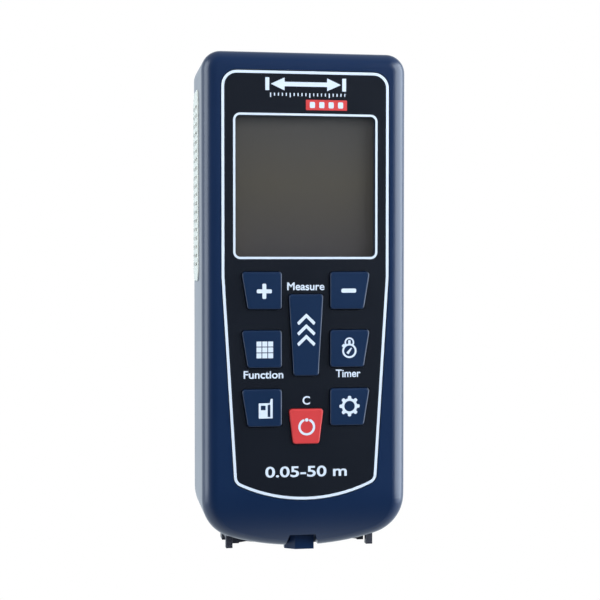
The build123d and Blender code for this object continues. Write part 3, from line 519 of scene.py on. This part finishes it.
def on_panel(name, groups, material=PRINT_WHITE, layer=0):
    """Mark printed on the front panel. A higher layer lies over a lower one."""
    front = FACE_Y - INK * (layer + 1)
    return stamp(name, groups, front, INK * (layer + 1) + INK_SINK, material, "root")


def key_middle(key):
    """Middle of a key in X and Z, in millimetres."""
    low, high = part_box(key)
    return ((low.x + high.x) / 2 / MM, (low.z + high.z) / 2 / MM)


def on_key(key, name, groups):
    """Mark printed on a key. Its outlines are drawn about the middle of the key."""
    x, z = key_middle(key)
    placed = [[[(x + px, z + pz) for px, pz in loop] for loop in loops] for loops in groups]
    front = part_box(key)[0].y / MM - INK
    return stamp(name, placed, front, INK + INK_SINK, PRINT_WHITE, key)


def label(name, text, x, z, width, height):
    """White words printed on the panel."""
    front, depth = FACE_Y - INK, INK + INK_SINK
    look = (PRINT_WHITE, "root", "white_plastic")
    return words(name, text, x, z, width, height, front, depth, *look, LETTER_WEIGHT)


def panel_outline(margin):
    """Outline of the front panel, moved inward by a margin."""
    half = OVERLAY_HIGH.x
    rise = PANEL_LOW_Z - PANEL_BASE_Z
    radius = (PANEL_LOW_HALF**2 + rise**2) / (2 * rise)
    reach = math.asin(PANEL_LOW_HALF / radius)
    sweep = [reach * CHIN_SHARE * (i / CHIN_STEPS - 1) for i in range(2 * CHIN_STEPS + 1)]
    chin = [(radius * math.sin(a), PANEL_BASE_Z + radius * (1 - math.cos(a))) for a in sweep]
    points = [(-PANEL_LOW_HALF, PANEL_LOW_Z), *chin, (PANEL_LOW_HALF, PANEL_LOW_Z)]
    points += [(half, PANEL_TAPER_Z), (half, PANEL_TOP), (-half, PANEL_TOP), (-half, PANEL_TAPER_Z)]
    radii = [PANEL_LOW_R] + [0] * len(chin) + [PANEL_LOW_R, 0, PANEL_TOP_R, PANEL_TOP_R, 0]
    return inset(round_corners(points, radii, 10), margin)


def turned(loop, degrees, x=0.0, z=0.0):
    """Outline turned about the origin, then moved."""
    cosine, sine = math.cos(math.radians(degrees)), math.sin(math.radians(degrees))
    return [(x + px * cosine - pz * sine, z + px * sine + pz * cosine) for px, pz in loop]


MARK_Z = 107.4
MARK_HALF = 9.3
MARK_HEIGHT = 2.9
STOP_WIDTH = 0.9
HEAD_BACK_X = 4.9
HEAD_GAP = 1.25
SHAFT_HALF = 0.5
RULER_LEFT_X = -8.1
RULER_TOP_Z = 105.4
TICK_COUNT = 20
TICK_PITCH = 0.9
TICK_WIDTH = 0.24
TICK_LONG = 1.0
TICK_SHORT = 0.68
BAR_X = 4.75
BAR_Z = 102.75
CHIP_COUNT = 4
CHIP_LEFT_X = 1.5
CHIP_PITCH = 2.17


def ruler_tick(index):
    """Line of the ruler. Every fifth one is long."""
    height = TICK_LONG if index % 5 == 0 else TICK_SHORT
    return box(RULER_LEFT_X + TICK_PITCH * index, RULER_TOP_Z - height / 2, TICK_WIDTH, height)


def brand_place():
    """Plain distance pictogram: an arrow between two stops, a ruler, and a red bar."""
    wide = MARK_HEIGHT / 2
    right = [(HEAD_BACK_X, -SHAFT_HALF), (HEAD_BACK_X, -wide), (MARK_HALF - HEAD_GAP, 0)]
    right += [(HEAD_BACK_X, wide), (HEAD_BACK_X, SHAFT_HALF)]
    beam = [(x, MARK_Z + rise) for x, rise in right] + [(-x, MARK_Z + rise) for x, rise in right[::-1]]
    stop_x = MARK_HALF - STOP_WIDTH / 2
    stops = [[box(side * stop_x, MARK_Z, STOP_WIDTH, MARK_HEIGHT, 0.1)] for side in (-1, 1)]
    on_panel("distance_mark", [[beam], *stops])
    on_panel("ruler_mark", [[ruler_tick(i)] for i in range(TICK_COUNT)])
    on_panel("red_bar", [[box(BAR_X, BAR_Z, 9.5, 2.35, 0.15)]], PRINT_RED)
    chips = [[box(CHIP_LEFT_X + CHIP_PITCH * i, BAR_Z, 1.2, 1.4, 0.25)] for i in range(CHIP_COUNT)]
    on_panel("red_bar_marks", chips, layer=1)


PANE_LINE_HALF = 16.64
PANE_LINE = 0.5
PANE_LINE_R = 1.6


def panel_lines():
    """White lines round the panel and round the display."""
    on_panel("panel_border", [[panel_outline(EDGE_MARGIN), panel_outline(EDGE_MARGIN + EDGE_LINE)]])
    middle, size = (PANE_LOW.z + PANE_HIGH.z) / 2, PANE_HIGH.z - PANE_LOW.z
    width = 2 * PANE_LINE_HALF
    height = size + 2 * (PANE_LINE_HALF - PANE_HIGH.x)
    outer = box(0, middle, width, height, PANE_LINE_R)
    inner = box(0, middle, width - 2 * PANE_LINE, height - 2 * PANE_LINE, PANE_LINE_R - PANE_LINE)
    on_panel("display_line", [[outer, inner]])


def plus_sign(x, z, reach, half):
    """Plus sign with rounded arms."""
    arm = [(half, half), (half, reach), (-half, reach)]
    points = [turn for quarter in range(4) for turn in turned(arm, 90 * quarter)]
    return [(x + px, z + pz) for px, pz in round_corners(points, [0, 0.25, 0.25] * 4, 5)]


def chevron(z, half=1.85, rise=1.95, line=0.64):
    """Upward chevron with its outer point at z."""
    lean = line / math.cos(math.atan2(rise, half))
    tip = line * 0.45
    points = [
        (0, z),
        (-half - tip, z - rise - tip * 0.3),
        (-half + tip * 0.4, z - rise - lean * 0.75),
        (0, z - lean),
        (half - tip * 0.4, z - rise - lean * 0.75),
        (half + tip, z - rise - tip * 0.3),
    ]
    return round_corners(points, [0.12, 0.15, 0.15, 0.05, 0.15, 0.15], 4)


def gear(x, z, outer, body, hole, teeth=8):
    """Gear with round-tipped teeth and a hole."""
    loop = []
    pitch = 2 * math.pi / teeth
    shoulder = outer * 0.97
    half_tooth = ((0.08, outer), (0.20, shoulder), (0.30, body))
    tooth = [(-share, radius) for share, radius in half_tooth[::-1]] + list(half_tooth)
    for i in range(teeth):
        middle = math.pi / 2 + pitch * i
        for share, radius in tooth:
            angle = middle + pitch * share
            loop.append((x + radius * math.cos(angle), z + radius * math.sin(angle)))
    return [loop, circle(x, z, hole)]


def grid(x, z, pitch, cell):
    """Nine square cells about a middle point."""
    steps = (-1, 0, 1)
    return [[box(x + pitch * i, z + pitch * j, cell, cell)] for i in steps for j in steps]


def key_marks():
    """Marks on the eight keys."""
    on_key("key_plus", "plus_mark", [[plus_sign(0.5, -0.15, 1.72, 0.44)]])
    on_key("key_minus", "minus_mark", [[box(-0.3, -0.05, 3.45, 0.95, 0.35)]])
    on_key("key_measure", "chevrons", [[chevron(z)] for z in (4.9, 2.5, 0.1)])
    on_key("key_function", "grid_mark", grid(0.6, -0.15, 1.33, 1.13))
    on_key("key_timer", "stopwatch", stopwatch(-0.15, -0.55))
    on_key("key_reference", "reference_mark", reference_mark(0.8, -0.15))
    on_key("key_settings", "gear_mark", [gear(-0.1, 0.15, 2.35, 1.8, 1.22)])
    ring = arc_band(0.1, -0.1, 1.95, 1.43, 118, 422)
    on_key("key_power", "power_mark", [[ring], [circle(0.1, 1.5, 0.4, 20)]])


def stopwatch(x, z):
    """Dial with a needle, a crown in an open bow, and a side button."""
    needle = turned([(-0.32, -0.75), (0.32, -0.75), (0.12, 0.85), (-0.12, 0.85)], -38, x, z)
    crown = box(x, z + 2.0, 0.55, 0.9, 0.2)
    bow = arc_band(x, z + 1.95, 1.12, 0.78, -35, 215, 24)
    button = turned(box(0, 0, 0.75, 0.5, 0.15), 42, x - 1.35, z + 1.25)
    dial = [circle(x, z, 1.66), circle(x, z, 1.24)]
    return [dial, [round_corners(needle, 0.1, 3)], [crown], [bow], [button]]


def reference_mark(x, z):
    """Small outline of the instrument beside a wall."""
    body = [(-1.6, -2.2), (1.6, -2.2), (1.6, 2.25), (1.15, 2.25), (0.95, 1.25), (-1.6, 1.25)]
    outer = round_corners(body, 0.12, 4)
    screen = box(-0.58, 0.2, 1.1, 1.05, 0.1)
    gap = box(0.75, -0.48, 0.62, 2.8, 0.05)
    return [[[(x + px, z + pz) for px, pz in loop] for loop in (outer, screen, gap)]]


# Piece, text, then its middle in X and Z, its width and its height
PANEL_WORDS = (
    ("word_measure", "Measure", 0.0, 61.5, 8.6, 1.8),
    ("word_function", "Function", -9.75, 41.4, 9.1, 1.8),
    ("word_timer", "Timer", 9.85, 41.5, 5.75, 1.8),
    ("word_clear", "C", 0.1, 35.4, 1.7, 1.95),
    ("word_range", "0.05-50 m", 0.1, 19.1, 18.9, 2.5),
)


def panel_words():
    """Words printed on the panel."""
    for row in PANEL_WORDS:
        label(*row)


# ---------------------------------------------------------------- grips and rear

RIB_COUNT = 19
RIB_PROUD = 0.11
RIB_HALF_H = 0.45
RIB_MARGIN_Y = 2.2
RIB_MARGIN_Z = 4.0


def capsule(mesh, x, z, y_low, y_high, proud, half_height, sides=12, rings=6):
    """Flattened rod with round ends along Y, added to a bmesh. Sizes are in millimetres."""
    profile = []
    for ring in range(rings + 1):
        angle = math.pi / 2 * ring / rings
        profile.append((y_low + half_height * (1 - math.cos(math.pi / 2 - angle)), math.sin(angle)))
    profile += [(y_low + y_high - y, share) for y, share in profile[::-1]]
    rows = []
    angles = [2 * math.pi / sides * i for i in range(sides)]
    for y, share in profile:
        wide, tall = proud * share, half_height * share
        ring = [(x + wide * math.cos(a), z + tall * math.sin(a)) for a in angles]
        rows.append([mesh.verts.new((px * MM, y * MM, pz * MM)) for px, pz in ring])
    for low, high in zip(rows, rows[1:]):
        for i in range(sides):
            j = (i + 1) % sides
            mesh.faces.new((low[i], low[j], high[j], high[i]))
    bmesh.ops.remove_doubles(mesh, verts=mesh.verts, dist=1e-7)


def grip_ribs(name, grip, outward):
    """Row of low ribs along a side grip."""
    low, high = (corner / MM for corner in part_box(grip))
    x = high.x if outward > 0 else low.x
    whole = bmesh.new()
    reach = high.z - low.z - 2 * RIB_MARGIN_Z
    for i in range(RIB_COUNT):
        z = low.z + RIB_MARGIN_Z + reach * i / (RIB_COUNT - 1)
        capsule(whole, x, z, low.y + RIB_MARGIN_Y, high.y - RIB_MARGIN_Y, RIB_PROUD, RIB_HALF_H)
    bmesh.ops.recalc_face_normals(whole, faces=whole.faces)
    mesh = bpy.data.meshes.new(name)
    whole.to_mesh(mesh)
    whole.free()
    mesh.shade_smooth()
    mesh.materials.append(MATERIALS["pale_grip"])
    piece = bpy.data.objects.new(name, mesh)
    bpy.context.scene.collection.objects.link(piece)
    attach(piece, "root")


LABEL_EDGE = 0.6
LABEL_LINE = 0.3
RULE_WIDTH = 0.22
RULE_SHARES = (-0.22, 0.0, 0.22)
SIGN_SHARE = 0.35
DOOR_SIGN_SHARE = 0.8
DOOR_SIGN_REACH = 4.5


def label_lines():
    """Ruled lines and a plain distance sign on the rear label."""
    low, high = (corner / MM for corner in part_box("rear_label"))
    x, z = (low.x + high.x) / 2, (low.z + high.z) / 2
    width, height = high.x - low.x, high.z - low.z
    outer, inner = 2 * LABEL_EDGE, 2 * (LABEL_EDGE + LABEL_LINE)
    border = [box(x, z, width - outer, height - outer, 0.8), box(x, z, width - inner, height - inner, 0.5)]
    rules = [[box(x, z + height * share, width - inner, RULE_WIDTH)] for share in RULE_SHARES]
    cells = [[box(x + width * 0.12, z - height * 0.11, RULE_WIDTH, height * 0.22)]]
    sign_z = z + height * SIGN_SHARE
    beam = [[box(x, sign_z, width * 0.5, 0.5)]]
    stops = [[box(x + side * width * 0.27, sign_z, 0.6, 2.6)] for side in (-1, 1)]
    marks = [border, *rules, *cells, *beam, *stops]
    stamp("label_lines", marks, high.y - INK_SINK, INK + INK_SINK, PRINT_DARK, "root")


def door_arrow():
    """Raised slide arrow on the battery door."""
    low, high = (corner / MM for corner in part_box("battery_door"))
    z = low.z + (high.z - low.z) * DOOR_SIGN_SHARE
    sign = round_corners([(-DOOR_SIGN_REACH, z), (0, z - DOOR_SIGN_REACH), (DOOR_SIGN_REACH, z)], 0.6)
    stem = box(0, z + 2.0, 3.2, 2.2, 0.4)
    shell = MATERIALS["navy_shell"]
    stamp("door_arrow", [[sign], [stem]], high.y - 0.35, 0.45, shell, "battery_door")


panel_lines()
brand_place()
key_marks()
panel_words()
grip_ribs("grip_ribs_left", "side_grip_left", -1)
grip_ribs("grip_ribs_right", "side_grip_right", 1)
label_lines()
door_arrow()


# ---------------------------------------------------------------- camera and stage

EYE_DISTANCE = 0.319
EYE_AZIMUTH = math.radians(-8.7)
EYE_BELOW_TOP = 0.0485
EYE_PITCH = math.radians(-1.55)
EYE_LENS = 80.4
EYE_SENSOR = 36.0
EYE_SHIFT_X = 0.0050


def make_camera():
    """Camera in front, a little to the left, with its height measured from the top."""
    camera = bpy.data.objects.new("camera", bpy.data.cameras.new("camera"))
    camera.data.lens = EYE_LENS
    camera.data.sensor_width = EYE_SENSOR
    camera.data.shift_x = EYE_SHIFT_X
    camera.data.clip_start = 0.01
    camera.data.clip_end = 20.0
    camera.location = (
        math.sin(EYE_AZIMUTH) * EYE_DISTANCE,
        -math.cos(EYE_AZIMUTH) * EYE_DISTANCE,
        CAD_HIGH.z - EYE_BELOW_TOP,
    )
    camera.rotation_euler = (math.radians(90) + EYE_PITCH, 0, EYE_AZIMUTH)
    bpy.context.scene.collection.objects.link(camera)
    bpy.context.scene.camera = camera


MIDDLE = (0.0, 0.0, 0.058)
COOL = (0.84, 0.93, 1.0)
WORLD_FRONT = 0.02
WORLD_BACK = 1.3
WORLD_TOP = 0.45
WORLD_TURN = (-0.85, -0.05)
WORLD_RISE = (0.15, 0.80)
SKY_TINT = (0.82, 0.92, 1.0, 1)
FLOOR_GLOW = (0.36, 0.43, 0.52, 1)
FLOOR_HALF = 6.0
FLOOR_GAP = 0.0002


def softbox(name, place, aim, width, height, watts, tint=(1, 1, 1), mirrored=True):
    """Rectangular light at a place, turned to an aim point. Only a mirrored one shows in gloss."""
    data = bpy.data.lights.new(name, "AREA")
    data.shape = "RECTANGLE"
    data.size = width
    data.size_y = height
    data.energy = watts
    data.color = tint
    light = bpy.data.objects.new(name, data)
    light.location = place
    light.rotation_euler = (Vector(aim) - Vector(place)).to_track_quat("-Z", "Y").to_euler()
    light.visible_camera = False
    light.visible_glossy = mirrored
    bpy.context.scene.collection.objects.link(light)


def make_world():
    """Studio surround: white to the eye and behind the object, dim in front of it."""
    world = bpy.data.worlds.new("studio")
    bpy.context.scene.world = world
    world.use_nodes = True
    tree = world.node_tree
    tree.nodes.clear()
    coordinates = node(tree, "ShaderNodeTexCoord")
    split = node(tree, "ShaderNodeSeparateXYZ")
    spread = node(tree, "ShaderNodeMapRange", interpolation_type="SMOOTHSTEP")
    spread.inputs["From Min"].default_value = WORLD_TURN[0]
    spread.inputs["From Max"].default_value = WORLD_TURN[1]
    spread.inputs["To Min"].default_value = WORLD_FRONT
    spread.inputs["To Max"].default_value = WORLD_BACK
    ceiling = node(tree, "ShaderNodeMapRange", interpolation_type="SMOOTHSTEP")
    ceiling.inputs["From Min"].default_value = WORLD_RISE[0]
    ceiling.inputs["From Max"].default_value = WORLD_RISE[1]
    ceiling.inputs["To Min"].default_value = 1.0
    ceiling.inputs["To Max"].default_value = WORLD_TOP
    product = node(tree, "ShaderNodeMath", operation="MULTIPLY")
    surround = node(tree, "ShaderNodeBackground")
    surround.inputs["Color"].default_value = SKY_TINT
    seen = node(tree, "ShaderNodeBackground")
    seen.inputs["Color"].default_value = (1, 1, 1, 1)
    seen.inputs["Strength"].default_value = 1.0
    path = node(tree, "ShaderNodeLightPath")
    mix = node(tree, "ShaderNodeMixShader")
    output = node(tree, "ShaderNodeOutputWorld")
    link = tree.links.new
    link(coordinates.outputs["Generated"], split.inputs["Vector"])
    link(split.outputs["Y"], spread.inputs["Value"])
    link(split.outputs["Z"], ceiling.inputs["Value"])
    link(spread.outputs["Result"], product.inputs[0])
    link(ceiling.outputs["Result"], product.inputs[1])
    link(product.outputs["Value"], surround.inputs["Strength"])
    link(path.outputs["Is Camera Ray"], mix.inputs["Fac"])
    link(surround.outputs["Background"], mix.inputs[1])
    link(seen.outputs["Background"], mix.inputs[2])
    link(mix.outputs["Shader"], output.inputs["Surface"])


def make_floor():
    """Wide pale floor that glows evenly, as a lit sweep does."""
    mesh = bpy.data.meshes.new("floor")
    corners = [(-1, -1), (1, -1), (1, 1), (-1, 1)]
    places = [(x * FLOOR_HALF, y * FLOOR_HALF, CAD_LOW.z - FLOOR_GAP) for x, y in corners]
    mesh.from_pydata(places, [], [(0, 1, 2, 3)])
    material = bpy.data.materials.new("floor")
    material.use_nodes = True
    tree = material.node_tree
    shader = tree.nodes["Principled BSDF"]
    shader.inputs["Base Color"].default_value = (0, 0, 0, 1)
    shader.inputs["Roughness"].default_value = 1.0
    shader.inputs["Specular IOR Level"].default_value = 0.0
    shader.inputs["Emission Strength"].default_value = 1.0
    path = node(tree, "ShaderNodeLightPath")
    glow = node(tree, "ShaderNodeValToRGB")
    glow.color_ramp.elements[0].color = FLOOR_GLOW
    glow.color_ramp.elements[1].color = (1, 1, 1, 1)
    tree.links.new(path.outputs["Is Camera Ray"], glow.inputs["Fac"])
    tree.links.new(glow.outputs["Color"], shader.inputs["Emission Color"])
    mesh.materials.append(material)
    floor = bpy.data.objects.new("floor", mesh)
    bpy.context.scene.collection.objects.link(floor)
    floor.visible_glossy = False


make_camera()
make_world()
make_floor()
softbox("softbox_right", (0.60, -0.22, 0.16), MIDDLE, 0.95, 0.9, 17.0, COOL)
softbox("softbox_left", (-0.70, -0.02, 0.20), MIDDLE, 0.46, 0.8, 4.8, COOL)
softbox("fill_front", (-0.10, -0.80, 0.45), MIDDLE, 0.8, 0.6, 5.0, mirrored=False)
bpy.context.scene.view_settings.view_transform = "Standard"
